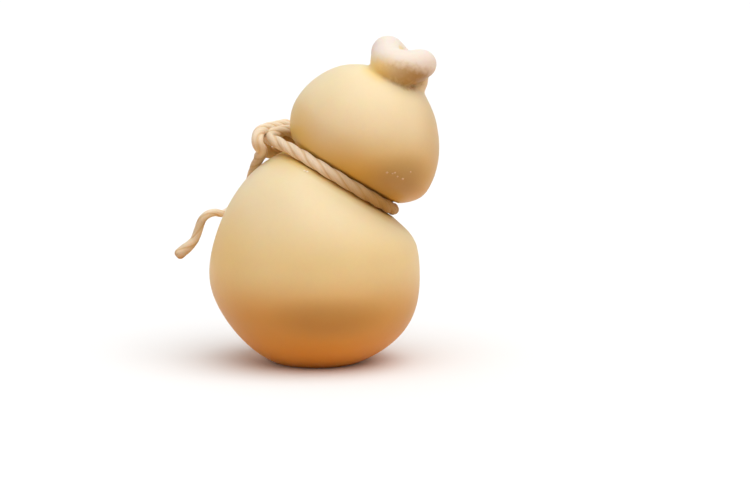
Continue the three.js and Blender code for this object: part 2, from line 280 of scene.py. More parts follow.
class CheeseSettings(bpy.types.PropertyGroup):
    """Sizes and colours of the cheese."""

    belly_radius: millimetres("Belly radius", "Half the belly's width", CHEESE_HIGH.y / MM)
    belly_level: millimetres("Belly level", "Height of the widest ring", 38.3)
    belly_below: millimetres("Belly below", "Half height of the lower ellipse", 41.8)
    belly_above: millimetres("Belly above", "Half height of the upper ellipse", 48.6)
    belly_sway: millimetres("Belly sway", "How far its rings wander to and fro", 1.6)
    belly_sway_over: millimetres("Belly sway over", "Height of one sway to and fro", 56)
    bend_level: millimetres("Bend level", "Height where the spine begins to bend", 38)
    belly_lean: degrees("Belly lean", "Lean of the spine at the belly's top", 28.9)
    belly_drift: millimetres("Belly drift", "Sideways, at the belly's top", 7.2)
    neck_level: millimetres("Neck level", "Height of the middle of the neck", 79.2)
    neck_lean: degrees("Neck lean", "Lean of the spine past the neck", 31.5)
    neck_slip: millimetres("Neck slip", "Sideways, beyond the belly's drift", 3.4)
    neck_slip_over: millimetres("Neck slip over", "Length of spine in which it comes about", 1.5)
    head_radius: millimetres("Head radius", "Half the head's width", 34.5)
    head_rise: millimetres("Head rise", "Of the head's widest ring above the neck", 17.8)
    head_below: millimetres("Head below", "Half height of the head's lower ellipse", 21.8)
    head_above: millimetres("Head above", "Half height of the head's upper ellipse", 32.2)
    head_nod: degrees("Head nod", "Further lean of the head", 3.5)
    head_offset: millimetres("Head offset", "To the side that it leans to", 0.4)
    neck_softness: millimetres("Neck softness", "Rounding between belly and head", 1.2)
    seat_radius: millimetres("Seat radius", "Of the channel that the twine has pressed in", 3.2)
    seat_rise: millimetres("Seat rise", "Of the channel above the middle of the neck", 0.7)
    stalk_radius: millimetres("Stalk radius", "Of the drawn-out crown", 6.4)
    stalk_rise: millimetres("Stalk rise", "Above the head's ellipse", 9)
    stalk_round: millimetres("Stalk end", "Length of the round end inside the curl", 8)
    stalk_flare: millimetres("Stalk flare", "How widely it spreads into the head", 11.3)
    stalk_offset: millimetres("Stalk offset", "To the side that the head leans to", 1.7)
    stalk_offset_from: millimetres("Stalk offset from", "Above the head's widest ring", 22)
    stalk_offset_to: millimetres("Stalk offset to", "Above the head's widest ring", 34)
    stalk_unbend: degrees("Stalk unbend", "Back towards upright", 20)
    stalk_unbend_from: millimetres("Stalk unbend from", "Above the head's widest ring", 29)
    curl_right: millimetres("Curl right", "Place of the curl's middle", 38.2)
    curl_up: millimetres("Curl up", "Height of the curl's middle", 131.5)
    curl_turn: degrees("Curl turn", "About the vertical", -10)
    sides: IntProperty(name="Sides", description="Corners of each ring", default=96, min=12)
    ring_step: millimetres("Ring step", "Spine between two rings", 1.6)
    grain_size: millimetres("Grain size", "Edge of the finished mesh's faces", 0.78)
    smoothing: IntProperty(name="Smoothing", description="Rounds of smoothing", default=5, min=0)
    # Low on the belly the rind is partly its own amber and partly painted: painted shade in the amber band,
    # and painted warm bounce light at the foot
    foot_colour_and_bounce: colour("Foot colour", "Of the rind at the foot", 0.88, 0.44, 0.045)
    amber_colour_and_shade: colour("Amber colour", "Of the rind low on the belly", 0.73, 0.41, 0.09)
    straw_colour: colour("Straw colour", "Of the rind round the middle", 0.88, 0.71, 0.37)
    cream_colour: colour("Cream colour", "Of the rind high on the belly", 0.89, 0.755, 0.48)
    # Painted shade: the head turns honey towards its underside, where the light from above falls away
    honey_colour_and_shade: colour("Honey colour", "Of the rind under the head", 0.72, 0.45, 0.08)
    crown_colour: colour("Crown colour", "Of the rind on top of the head", 0.87, 0.725, 0.455)
    head_shade_lean: degrees("Head shade lean", "Lean of the way from honey to crown colour", 6)
    # Partly the curl's own brown and partly painted shade under its roll
    crease_colour_and_shade: colour("Crease colour", "Of the curl's underside", 0.43, 0.25, 0.056)
    curd_lean: degrees("Curd lean", "Lean of the curd colour's lower edge", 17)
    curd_from: millimetres("Curd from", "Lower edge of the curd colour, above the curl's middle", -2.8)
    curd_to: millimetres("Curd to", "Where the curd colour is full, above the curl's middle", 2)
    curd_rag: millimetres("Curd rag", "How ragged that edge is", 4.5)
    curd_colour: colour("Curd colour", "Of the curl", 0.86, 0.775, 0.685)
    # Partly the dimple's own gold and partly painted warm light that brightens the shaded hollow
    dimple_colour_and_glow: colour("Dimple colour", "Of the dimple in the curl", 0.98, 0.70, 0.25)
    roughness: amount("Roughness", "Of the waxy rind", 0.42)


class TwineSettings(bpy.types.PropertyGroup):
    """Sizes and colours of the twine."""

    diameter: millimetres("Diameter", "Of the twine over its strands", 5.4)
    turn: degrees("Turn", "Of the twine round the neck, so that the hitch is at the left", -11.6)
    turn_radius: millimetres("Turn radius", "Of the turn round the neck", 26.2)
    turn_rise: millimetres("Turn rise", "Above the middle of the neck", 0.6)
    turn_from: degrees("Turn from", "Where the turn starts, from the right towards the back", 90)
    turn_to: degrees("Turn to", "Where the turn ends", -130)
    turn_step: degrees("Turn step", "Between two of the turn's points", 10)
    lay_length: millimetres("Lay length", "Length of one turn of a strand", 27)
    strand_radius: millimetres("Strand radius", "How round each strand's back is", 1.9)
    yarn_height: millimetres("Yarn height", "Of the yarns that show on a strand", 0.06)
    ring_step: millimetres("Ring step", "Between two rings of the mesh", 0.5)
    fibre_colour: colour("Fibre colour", "Of the twine", 0.93, 0.78, 0.59)
    # Painted shade in the grooves between the strands
    groove_shade_colour: colour("Groove colour", "Between the strands", 0.80, 0.58, 0.34)
    # Painted shade as well as oil: this brown also darkens the twine where it lies in shade under the head
    # and in the hitch
    stain_and_shade_colour: colour("Stain colour", "Of twine that the rind's oil has made brown", 0.43, 0.25, 0.06)
    # Painted warm light as well as oil: this gold brightens the spare end where it lies in shade inside the
    # hitch
    oil_and_glow_colour: colour("Oil colour", "Of twine that the oil has made golden", 0.80, 0.56, 0.26)


class StageSettings(bpy.types.PropertyGroup):
    """The camera and the light."""

    camera_turn: degrees("Camera turn", "Round the cheese, from the front", -10)
    camera_height: degrees("Camera height", "Above the level", 8.4)
    camera_distance: millimetres("Camera distance", "From the point that it looks at", 1300)
    image_scale: millimetres("Image scale", "Size of a pixel at that point", 0.435)
    foot_across: amount("Foot across", "Pixel of the origin, from the left", 316.6)
    foot_down: amount("Foot down", "Pixel of the origin, from the top", 360.36)
    sun_strength: amount("Sun strength", "Of the soft light from above", 2.13)
    sun_size: degrees("Sun size", "Width of the soft light", 75)
    sun_tilt: degrees("Sun tilt", "Of the soft light towards the front", 19)
    sun_aside: degrees("Sun aside", "Of the soft light towards the right", 9)
    room_front: amount("Room front", "Strength of the room's light from the front", 0.32)
    room_back: amount("Room back", "Strength of the room's light from behind", 0.70)


def clamp(value, low, high):
    """The value, kept between low and high."""
    return max(low, min(high, value))


def smoothstep(value, low, high):
    """0 below low, 1 above high, and a smooth way between."""
    share = clamp((value - low) / (high - low), 0, 1)
    return share * share * (3 - 2 * share)


def ellipse(radius, half_height, distance):
    """The half width of an ellipse at a distance from its middle, and 0 past its ends."""
    return radius * math.sqrt(max(0, 1 - (distance / half_height) ** 2))


def rounded_max(a, b, softness):
    """The larger of two values, with the corner where they cross rounded."""
    return (a + b + math.hypot(a - b, softness)) / 2


def head_at(form):
    """Place of the head's widest ring along the spine."""
    return form.neck_level + form.head_rise


def top_at(form):
    """Place of the stalk's end along the spine."""
    return head_at(form) + form.head_above + form.stalk_rise


def cheese_radius(form, along):
    """The cheese's radius at a place along the spine: a height below the neck, and a distance past it."""
    level, head_level = form.belly_level, head_at(form)
    belly_height = form.belly_below if along < level else form.belly_above
    head_height = form.head_below if along < head_level else form.head_above
    belly = ellipse(form.belly_radius, belly_height, along - level)
    head = ellipse(form.head_radius, head_height, along - head_level)
    if along > head_level:
        flare = form.stalk_flare * smoothstep(along, head_level, head_level + form.head_above)
        past_round = max(0, along - top_at(form) + form.stalk_round)
        return rounded_max(head, form.stalk_radius, flare) * ellipse(1, form.stalk_round, past_round)
    return rounded_max(belly, head, form.neck_softness) if head > 0 else belly


def spine_frame(form, along):
    """The frame of the spine at a place along it: X to the side that the cheese leans to, Z along it."""
    bent = clamp((along - form.bend_level) / (form.neck_level - form.bend_level), 0, 1)
    level = min(along, form.neck_level)
    past_neck = max(0, along - form.neck_level)
    past_head = along - head_at(form)
    slipped = smoothstep(past_neck, 0, form.neck_slip_over)
    lean = form.belly_lean * bent**2 + (form.neck_lean - form.belly_lean) * slipped
    sway = form.belly_sway * (1 - level / form.neck_level)
    sway *= math.sin(2 * math.pi * along / form.belly_sway_over)
    aside = form.belly_drift * bent**3 + sway + form.neck_slip * slipped
    unbend = form.stalk_unbend * smoothstep(along, head_at(form) + form.stalk_unbend_from, top_at(form))
    nod = form.head_nod * smoothstep(past_neck, 0, form.head_rise) - unbend
    offset = form.head_offset * smoothstep(past_neck, 0, form.head_rise)
    offset += form.stalk_offset * smoothstep(past_head, form.stalk_offset_from, form.stalk_offset_to)
    return (
        Matrix.Translation((aside, 0, level))
        @ Matrix.Rotation(lean, 4, "Y")
        @ Matrix.Translation((offset, 0, past_neck))
        @ Matrix.Rotation(nod, 4, "Y")
    )


def neck_frame(form):
    """The frame of the neck, where the twine's turn lies."""
    middle = (form.belly_drift + form.neck_slip, 0, form.neck_level)
    return Matrix.Translation(middle) @ Matrix.Rotation(form.neck_lean, 4, "Y")


def clear_selection():
    """Object mode with nothing selected, because operators act on all that is selected."""
    if bpy.context.object and bpy.context.object.mode != "OBJECT":
        bpy.ops.object.mode_set(mode="OBJECT")
    bpy.ops.object.select_all(action="DESELECT")


def make_active(piece, others=()):
    """Selects a piece, and others with it, and makes it the active one."""
    clear_selection()
    for item in [piece, *others]:
        item.select_set(True)
    bpy.context.view_layer.objects.active = piece


def apply_modifier(piece, kind, **values):
    """Adds a modifier with these values and applies it."""
    modifier = piece.modifiers.new(kind.title(), kind)
    for name, value in values.items():
        setattr(modifier, name, value)
    make_active(piece)
    bpy.ops.object.modifier_apply(modifier=modifier.name)


def finish_piece(piece, name, material, slot, *nodes):
    """Names a finished piece, gives it its material and ties it to the frame."""
    piece.name = name
    piece.data.name = name
    piece.data.materials.clear()
    piece.data.materials.append(material)
    make_active(piece)
    bpy.ops.object.shade_smooth()
    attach(piece, BODY)
    if nodes:
        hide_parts(*nodes)
    return piece


def feed(socket, value):
    """Links another socket to this one, or sets a plain value or colour on it."""
    if isinstance(value, bpy.types.NodeSocket):
        socket.id_data.links.new(value, socket)
    elif socket.type == "RGBA":
        socket.default_value = (*value, 1.0)
    else:
        socket.default_value = value


def set_inputs(node, **values):
    """Feeds a node's inputs by their names."""
    for name, value in values.items():
        feed(node.inputs[name.replace("_", " ")], value)


def add_node(tree, kind, **values):
    """Adds a shader node. Values are its own settings, or its inputs by their names."""
    node = tree.nodes.new(kind)
    for name, value in values.items():
        if hasattr(node, name):
            setattr(node, name, value)
        else:
            set_inputs(node, **{name: value})
    return node


def maths(tree, operation, *values):
    """The result of a sum on values, each a socket or a plain number."""
    node = add_node(tree, "ShaderNodeMath", operation=operation)
    for socket, value in zip(node.inputs, values):
        feed(socket, value)
    return node.outputs[0]


def new_material(name):
    """An empty material, its node tree and its Principled shader."""
    material = bpy.data.materials.new(name)
    material.use_nodes = True
    return material, material.node_tree, material.node_tree.nodes["Principled BSDF"]


def uneven_tone_group():
    """Soft blotches and fine grain, as natural surfaces have: a tone round 1 and a height from 0 to 1."""
    name = "Uneven tone"
    if name in bpy.data.node_groups:
        return bpy.data.node_groups[name]
    tree = bpy.data.node_groups.new(name, "ShaderNodeTree")
    new_socket = tree.interface.new_socket
    new_socket("Vector", in_out="INPUT", socket_type="NodeSocketVector")
    for socket, value in (("Blotch scale", 40.0), ("Grain scale", 900.0), ("Contrast", 0.1)):
        new_socket(socket, in_out="INPUT", socket_type="NodeSocketFloat").default_value = value
    for socket in ("Tone", "Height"):
        new_socket(socket, in_out="OUTPUT", socket_type="NodeSocketFloat")
    given = add_node(tree, "NodeGroupInput").outputs
    blotches = add_node(tree, "ShaderNodeTexNoise", Vector=given["Vector"], Scale=given["Blotch scale"])
    set_inputs(blotches, Detail=3.0, Roughness=0.5)
    grain = add_node(tree, "ShaderNodeTexNoise", Vector=given["Vector"], Scale=given["Grain scale"])
    set_inputs(grain, Detail=2.0, Roughness=0.6)
    both = add_node(tree, "ShaderNodeMix", data_type="FLOAT", Factor=0.25)
    feed(both.inputs[2], blotches.outputs["Fac"])
    feed(both.inputs[3], grain.outputs["Fac"])
    centred = maths(tree, "SUBTRACT", both.outputs[0], 0.5)
    tone = maths(tree, "MULTIPLY_ADD", centred, given["Contrast"], 1.0)
    add_node(tree, "NodeGroupOutput", Tone=tone, Height=both.outputs[0])
    return tree


def add_uneven_tone(tree, vector, **values):
    """Places the uneven tone in a material."""
    return add_node(tree, "ShaderNodeGroup", node_tree=uneven_tone_group(), Vector=vector, **values)


def tinted(tree, base, tone):
    """A colour multiplied by a tone."""
    return add_node(tree, "ShaderNodeVectorMath", operation="SCALE", Vector=base, Scale=tone).outputs[0]


def colour_ramp(tree, value, stops):
    """Colours at places from 0 to 1 along a value, with a smooth way between."""
    node = add_node(tree, "ShaderNodeValToRGB")
    ramp = node.color_ramp
    ramp.interpolation = "EASE"
    stops = list(stops)
    while len(ramp.elements) < len(stops):
        ramp.elements.new(1.0)
    for element, (stop, tint) in zip(ramp.elements, stops):
        element.position = stop
        element.color = (*tint, 1.0)
    feed(node.inputs[0], value)
    return node.outputs["Color"]


def axis_share(tree, place, axis, low, high):
    """How far a place is along an axis, from 0 at the low mark to 1 at the high one."""
    along = add_node(tree, "ShaderNodeSeparateXYZ", Vector=place).outputs[axis]
    return add_node(tree, "ShaderNodeMapRange", Value=along, From_Min=low, From_Max=high).outputs[0]


def seen_from(tree, place, location, rotation=(0, 0, 0), scale=(1, 1, 1)):
    """A place in a frame of its own."""
    node = add_node(tree, "ShaderNodeMapping", vector_type="TEXTURE", Vector=place)
    set_inputs(node, Location=location, Rotation=rotation, Scale=scale)
    return node.outputs[0]


def blended(tree, share, low, high):
    """One colour where the share is 0 and another where it is 1, each a socket or a plain colour."""
    node = add_node(tree, "ShaderNodeMix", data_type="RGBA")
    for index, value in ((0, share), (6, low), (7, high)):
        feed(node.inputs[index], value)
    return node.outputs[2]


def inside(tree, place, middle, half_sizes, core, strength):
    """The strength in the core of an ellipsoid and 0 outside it, with a soft edge."""
    local = seen_from(tree, place, middle, scale=half_sizes)
    away = add_node(tree, "ShaderNodeVectorMath", operation="LENGTH", Vector=local).outputs["Value"]
    share = add_node(tree, "ShaderNodeMapRange", interpolation_type="SMOOTHSTEP", Value=away)
    set_inputs(share, From_Min=1.0, From_Max=core, To_Max=strength)
    return share.outputs[0]


def rind_colour(form, tree, place):
    """Amber at the foot and under the head, cream above, and pale curd on the curl; the amber is partly
    painted shade, the foot partly painted warm bounce light, and patches of painted shade and warm light lie
    over it.
    """
    belly = colour_ramp(
        tree,
        axis_share(tree, place, "Z", 0.0, form.neck_level),
        zip(BELLY_STOPS, (form.foot_colour_and_bounce, form.amber_colour_and_shade, form.straw_colour, form.cream_colour)),
    )
    neck = neck_frame(form)
    on_head = seen_from(tree, place, neck.translation, (0, form.head_shade_lean, 0))
    head = colour_ramp(
        tree,
        axis_share(tree, on_head, "Z", 0.0, form.head_rise + form.head_above),
        zip(HEAD_STOPS, (form.honey_colour_and_shade, form.crown_colour)),
    )
    on_neck = seen_from(tree, place, neck.translation, neck.to_euler())
    edges = (HEAD_COLOUR_FROM * form.seat_radius, HEAD_COLOUR_FULL * form.seat_radius)
    rind = blended(tree, axis_share(tree, on_neck, "Z", *edges), belly, head)
    # Lays the patches of painted shade and warm light over the rind
    for middle, half_sizes, strength, tint in PAINTED_LIGHT_PATCHES:
        patch = inside(tree, place, Vector(middle) * MM, Vector(half_sizes) * MM, PATCH_CORE, strength)
        rind = blended(tree, patch, rind, tint)
    return curl_colour(form, tree, place, rind)


def on_curl(form, tree, place, offset, half_sizes, core, strength):
    """Where a patch of the curl is, by its place from the curl's middle."""
    middle = Vector((form.curl_right, 0, form.curl_up)) + Vector(offset) * MM
    return inside(tree, place, middle, Vector(half_sizes) * MM, core, strength)


def curl_colour(form, tree, place, rind):
    """The rind with the curl on it: brown underneath, partly painted shade, pale curd above, and a golden
    dimple, partly painted warm light.
    """
    noise = add_node(tree, "ShaderNodeTexNoise", Vector=place, Scale=RAG_SCALE, Detail=3.0, Roughness=0.6)
    shift = add_node(tree, "ShaderNodeVectorMath", operation="MULTIPLY_ADD")
    for socket, value in zip(shift.inputs, (noise.outputs["Color"], (0, 0, form.curd_rag), place)):
        feed(socket, value)
    ragged = shift.outputs[0]
    with_underside_shade = blended(tree, on_curl(form, tree, ragged, *CURL_UNDERSIDE_SHADE), rind, form.crease_colour_and_shade)
    middle = (form.curl_right, 0, form.curl_up)
    leaning = seen_from(tree, ragged, middle, (0, form.curd_lean, 0))
    curd = axis_share(tree, leaning, "Z", form.curd_from, form.curd_to)
    curl = blended(tree, curd, with_underside_shade, form.curd_colour)
    return blended(tree, on_curl(form, tree, place, *CURL_DIMPLE_GLOW), curl, form.dimple_colour_and_glow)


def waxy_rind(form):
    """The cheese: a satin, translucent rind."""
    material, tree, shader = new_material("Waxy rind")
    place = add_node(tree, "ShaderNodeTexCoord").outputs["Object"]
    uneven = add_uneven_tone(tree, place, Blotch_scale=45.0, Grain_scale=700.0, Contrast=0.12).outputs
    bump = add_node(tree, "ShaderNodeBump", Strength=0.25, Distance=0.6 * MM, Height=uneven["Height"])
    set_inputs(
        shader,
        Base_Color=tinted(tree, rind_colour(form, tree, place), uneven["Tone"]),
        Roughness=maths(tree, "MULTIPLY", uneven["Tone"], form.roughness),
        Normal=bump.outputs[0],
        Subsurface_Weight=0.55,
        Subsurface_Radius=(1.0, 0.5, 0.2),
        Subsurface_Scale=5 * MM,
        IOR=1.45,
    )
    return material


def laid_fibre(form):
    """The twine: matt fibre with lines of yarn along its strands, painted shade between them, and the brown
    and gold that its attributes carry, partly painted shade and warm light.
    """
    material, tree, shader = new_material("Laid fibre")
    lay = add_node(tree, "ShaderNodeUVMap", uv_map="lay").outputs["UV"]
    across = add_node(tree, "ShaderNodeSeparateXYZ", Vector=lay).outputs["X"]
    from_groove = maths(tree, "PINGPONG", across, 0.5)
    open_strand = add_node(tree, "ShaderNodeMapRange", interpolation_type="SMOOTHSTEP", Value=from_groove)
    set_inputs(open_strand, From_Min=0.0, From_Max=GROOVE_WIDTH)
    stretched = add_node(tree, "ShaderNodeMapping", Vector=lay, Scale=YARN_STRETCH).outputs[0]
    uneven = add_uneven_tone(tree, stretched, Blotch_scale=1.2, Grain_scale=7.0, Contrast=0.5).outputs
    stain_and_painted_light = blended(tree, open_strand.outputs[0], form.groove_shade_colour, form.fibre_colour)
    # Painted light: the oil attribute's gold is partly painted warm light, and the brown after it partly
    # painted shade
    for name, tint in (("oil", form.oil_and_glow_colour), ("stain_and_shade", form.stain_and_shade_colour)):
        share = add_node(tree, "ShaderNodeAttribute", attribute_name=name).outputs["Fac"]
        stain_and_painted_light = blended(tree, share, stain_and_painted_light, tint)
    bump = add_node(tree, "ShaderNodeBump", Strength=0.5, Distance=0.3 * MM, Height=uneven["Height"])
    set_inputs(
        shader,
        Base_Color=tinted(tree, stain_and_painted_light, uneven["Tone"]),
        Normal=bump.outputs[0],
        Roughness=0.85,
        Sheen_Weight=0.15,
        Subsurface_Weight=0.1,
        Subsurface_Scale=1 * MM,
    )
    return material


def dry_salt():
    """The specks: dull crystals, paler on the belly than under the head."""
    material, tree, shader = new_material("Dry salt")
    place = add_node(tree, "ShaderNodeTexCoord").outputs["Object"]
    uneven = add_uneven_tone(tree, place, Blotch_scale=900.0, Grain_scale=4000.0, Contrast=0.3).outputs
    on_belly, on_head = (0.96, 0.86, 0.66), (0.72, 0.53, 0.32)
    aside = axis_share(tree, place, "X", 0.0, 20 * MM)
    pale = colour_ramp(tree, aside, [(0.0, on_belly), (1.0, on_head)])
    set_inputs(shader, Base_Color=tinted(tree, pale, uneven["Tone"]), Roughness=0.7)
    return material


def pale_floor():
    """The floor: white to look at, while the light that it throws back is warm."""
    material, tree, shader = new_material("Pale floor")
    thrown = add_node(tree, "ShaderNodeLightPath").outputs["Is Diffuse Ray"]
    white, warm = (0.93, 0.93, 0.93), (0.70, 0.42, 0.22)
    set_inputs(shader, Base_Color=blended(tree, thrown, white, warm), Roughness=0.9, Specular_IOR_Level=0.1)
    return material


def camera_ray(pixel_across, pixel_down):
    """Where the camera is, and the direction in which it sees a pixel."""
    camera = bpy.context.scene.camera
    pixel = camera.data.sensor_width / IMAGE_WIDTH / camera.data.lens
    across = (pixel_across - IMAGE_WIDTH / 2) * pixel
    down = (pixel_down - IMAGE_HEIGHT / 2) * pixel
    direction = camera.matrix_world.to_3x3() @ Vector((across, -down, -1))
    return camera.matrix_world.translation.copy(), direction.normalized()


class SCAMORZA_OT_stage(bpy.types.Operator):
    """Set up the camera, the floor and the light"""

    bl_idname = "scamorza.stage"
    bl_label = "Set up the stage"

    FLOOR_SIZE = 12
    LIGHT_PLACE = (0.3, -0.5, 1.5)

    def execute(self, context):
        stage = context.scene.scamorza_stage
        clear_selection()
        self.add_camera(context, stage)
        self.add_floor()
        self.add_light(context, stage)
        return {"FINISHED"}

    def add_camera(self, context, stage):
        turned = (math.pi / 2 - stage.camera_height, 0, stage.camera_turn)
        bpy.ops.object.camera_add(rotation=turned)
        camera = context.object
        camera.name = "camera"
        seen_width = stage.image_scale * IMAGE_WIDTH
        camera.data.lens = camera.data.sensor_width * stage.camera_distance / seen_width
        across = (IMAGE_WIDTH / 2 - stage.foot_across) * stage.image_scale
        up = (stage.foot_down - IMAGE_HEIGHT / 2) * stage.image_scale
        context.view_layer.update()
        camera.location = camera.matrix_world.to_3x3() @ Vector((across, up, stage.camera_distance))
        context.scene.camera = camera
        context.view_layer.update()

    def add_floor(self):
        bpy.ops.mesh.primitive_plane_add(size=self.FLOOR_SIZE)
        floor = bpy.context.object
        floor.name = "floor"
        floor.data.materials.append(pale_floor())

    def add_light(self, context, stage):
        turned = (stage.sun_tilt, stage.sun_aside, 0)
        bpy.ops.object.light_add(type="SUN", location=self.LIGHT_PLACE, rotation=turned)
        sun = context.object
        sun.name = "soft_light"
        sun.data.energy = stage.sun_strength
        sun.data.angle = stage.sun_size
        world = bpy.data.worlds.new("room")
        world.use_nodes = True
        tree = world.node_tree
        background = tree.nodes["Background"]
        direction = add_node(tree, "ShaderNodeTexCoord").outputs["Generated"]
        backward = axis_share(tree, direction, "Y", -1.0, 1.0)
        room = add_node(tree, "ShaderNodeMapRange", Value=backward)
        set_inputs(room, To_Min=stage.room_front, To_Max=stage.room_back)
        seen = add_node(tree, "ShaderNodeLightPath").outputs["Is Camera Ray"]
        strength = add_node(tree, "ShaderNodeMapRange", Value=seen, To_Min=room.outputs[0], To_Max=1.0)
        set_inputs(background, Color=(1.0, 1.0, 1.0), Strength=strength.outputs[0])
        context.scene.world = world
        context.scene.view_settings.view_transform = "Standard"


def catmull_rom(points, samples):
    """A centripetal curve through points, as points close together, with so many from each to the next."""
    points = np.array(points, float)
    padded = np.vstack([2 * points[0] - points[1], points, 2 * points[-1] - points[-2]])
    gaps = np.sqrt(np.linalg.norm(np.diff(padded, axis=0), axis=1))
    share = np.linspace(0, 1, samples, endpoint=False)[:, None]
    stretches = []
    for i in range(len(points) - 1):
        before, start, end, after = padded[i : i + 4]
        g0, g1, g2 = gaps[i : i + 3]
        leave = ((start - before) / g0 - (end - before) / (g0 + g1) + (end - start) / g1) * g1
        arrive = ((end - start) / g1 - (after - start) / (g1 + g2) + (after - end) / g2) * g1
        square = 3 * (end - start) - 2 * leave - arrive
        cube = 2 * (start - end) + leave + arrive
        stretches.append(start + leave * share + square * share**2 + cube * share**3)
    return np.vstack([*stretches, points[-1:]])


def turn_points(form):
    """Points of the turn round the neck."""
    count = round((form.turn_from - form.turn_to) / form.turn_step)
    angles = [form.turn_from - form.turn_step * i for i in range(count + 1)]
    radius = form.turn_radius / MM
    return [(radius * math.cos(a), radius * math.sin(a), form.turn_rise / MM) for a in angles]


class TwineRun:
    """The whole twine as one centreline of even steps, with a frame at each step."""

    # Points of the curve from each point of a route to the next
    SAMPLES = 40

    def __init__(self, cheese, form):
        routes = [BACK_ROUTE, turn_points(form), BIGHT_ROUTE, LOOP_ROUTE, WRAP_ROUTE, TAIL_ROUTE]
        points = [Vector(point) * MM for route in routes for point in route]
        placed = neck_frame(cheese) @ Matrix.Rotation(form.turn, 4, "Z")
        dense = catmull_rom([placed @ point for point in points], self.SAMPLES)
        run = np.concatenate([[0], np.cumsum(np.linalg.norm(np.diff(dense, axis=0), axis=1))])
        before_loop = sum(len(route) for route in routes[:3])
        before_wrap = before_loop + len(LOOP_ROUTE)
        before_tail = before_wrap + len(WRAP_ROUTE)
        self.loop_from, self.loop_to, self.tail_from = (
            run[self.SAMPLES * index] for index in (before_loop, before_wrap, before_tail)
        )
        self.length = run[-1]
        self.run = np.linspace(0, self.length, round(self.length / form.ring_step) + 1)
        self.centres = np.stack([np.interp(self.run, run, dense[:, axis]) for axis in range(3)], axis=1)
        self.normals, self.binormals = self.frames()
        distance, girth, relief = np.array(TAIL_WEAR).T
        self.girth = np.interp(self.run - self.tail_from, distance * MM, girth)
        self.relief = np.interp(self.run - self.tail_from, distance * MM, relief)
        # Shares of the brown, partly painted shade, and of the gold, partly painted warm light, at each step
        # of the run
        self.stain_and_painted_light = {}
        for name, shares in (("stain_and_shade", TWINE_STAIN_AND_SHADE), ("oil", TWINE_OIL_AND_GLOW)):
            distance, share = np.array(shares).T
            self.stain_and_painted_light[name] = np.interp(self.run, distance * MM, share)

    def frames(self):
        """Normals that turn with the centreline and not about it, and the binormals to them."""
        tangents = np.gradient(self.centres, axis=0)
        tangents /= np.linalg.norm(tangents, axis=1)[:, None]
        normal = np.cross(tangents[0], (0.0, 1.0, 0.0))
        normals = []
        for tangent in tangents:
            normal = normal - tangent * (normal @ tangent)
            normal /= np.linalg.norm(normal)
            normals.append(normal)
        return np.array(normals), np.cross(tangents, normals)

    def steps(self, start, end):
        """The numbers of the first and last step of a stretch."""
        last = len(self.run) - 1
        return [int(round(place / self.length * last)) for place in (start, end)]


class TwineSection:
    """The twine's cross-section: three strands, with their yarns."""

    STRANDS = 3
    YARNS = 15
    SIDES = 90
    # Half the most by which the twine thins, as a share of its thickness, and the lengths over which it does
    SWELL = 0.025
    SWELL_OVER = (7.3 * MM, 4.1 * MM)

    def __init__(self, form):
        self.form = form
        self.angles = np.arange(self.SIDES) * 2 * math.pi / self.SIDES
        third = 2 * math.pi / self.STRANDS
        lobe = (self.angles + third / 2) % third - third / 2
        middle = form.diameter / 2 - form.yarn_height - form.strand_radius
        back = np.sqrt(form.strand_radius**2 - (middle * np.sin(lobe)) ** 2)
        self.outline = middle * np.cos(lobe) + back

    def ring(self, run, girth, relief):
        """Distances from the centreline, and their angles, at a place along the twine."""
        turns = run / self.form.lay_length
        top = self.outline.max()
        outline = girth * (top + (self.outline - top) * relief)
        yarns = np.abs(np.sin((self.angles + 2 * math.pi * turns) * self.YARNS / 2))
        long, short = self.SWELL_OVER
        swell = 1 - self.SWELL * (1 + math.sin(run / long) * math.cos(run / short))
        return outline * swell + self.form.yarn_height * yarns, self.angles + 2 * math.pi * turns


